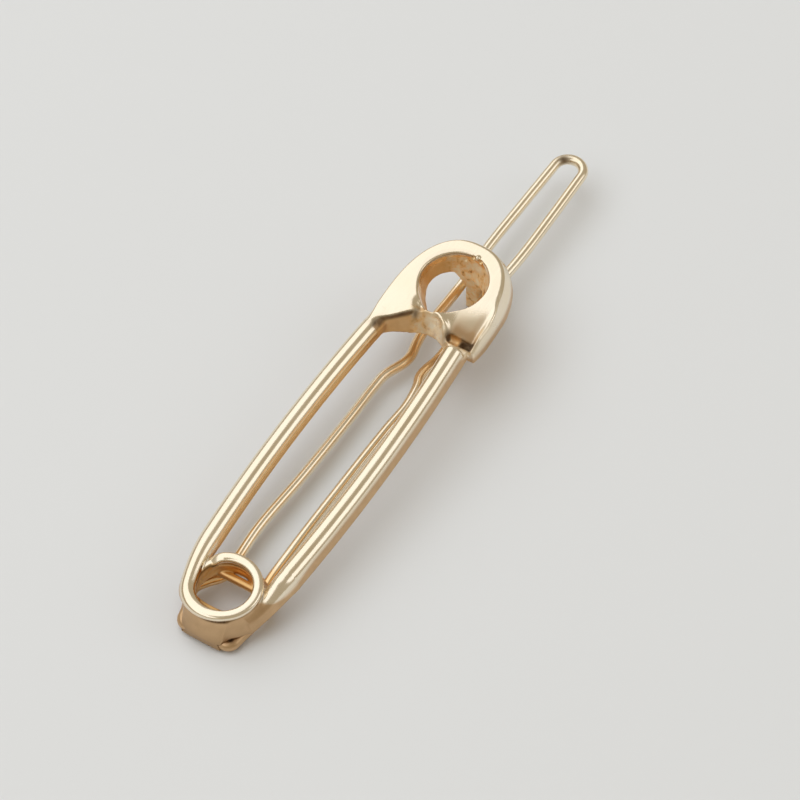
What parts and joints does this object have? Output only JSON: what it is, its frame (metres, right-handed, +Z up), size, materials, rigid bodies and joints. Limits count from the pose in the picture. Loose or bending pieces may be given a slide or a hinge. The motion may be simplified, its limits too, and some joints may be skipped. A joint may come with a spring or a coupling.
{
  "type": "hairpin",
  "caption": "Metal hair clip shaped like a closed safety pin, with a coil, a pierced head and a hinged spring wire that snaps over a post.",
  "frame": {"origin": "middle of the footprint, on the surface the clip lies on", "axes": "+X from the coil and hinge towards the wire's tail, +Y to the left, +Z up with the polished face up"},
  "size_m": [0.0782, 0.0138, 0.0097],
  "materials": {
    "front_gold": "polished pale gold plating",
    "wire_gold": "drawn spring wire, pale gold plating"
  },
  "bodies": {
    "front": {"left_arm": "front_gold", "right_arm": "front_gold", "coil_upper_turn": "front_gold", "coil_lower_turn": "front_gold", "head": "front_gold", "hinge_block": "front_gold", "catch_post": "front_gold"},
    "wire": {"left_wire_leg": "wire_gold", "right_wire_leg": "wire_gold", "wire_tail_loop": "wire_gold", "left_pivot_end": "wire_gold", "right_pivot_end": "wire_gold"}
  },
  "joints": [
    {"name": "wire_swing", "type": "hinge", "parent": "front", "child": "wire", "pos_m": [-0.03808, 0, 0.00085], "axis": [0, 1, 0], "range_deg": [0, 75]}
  ]
}
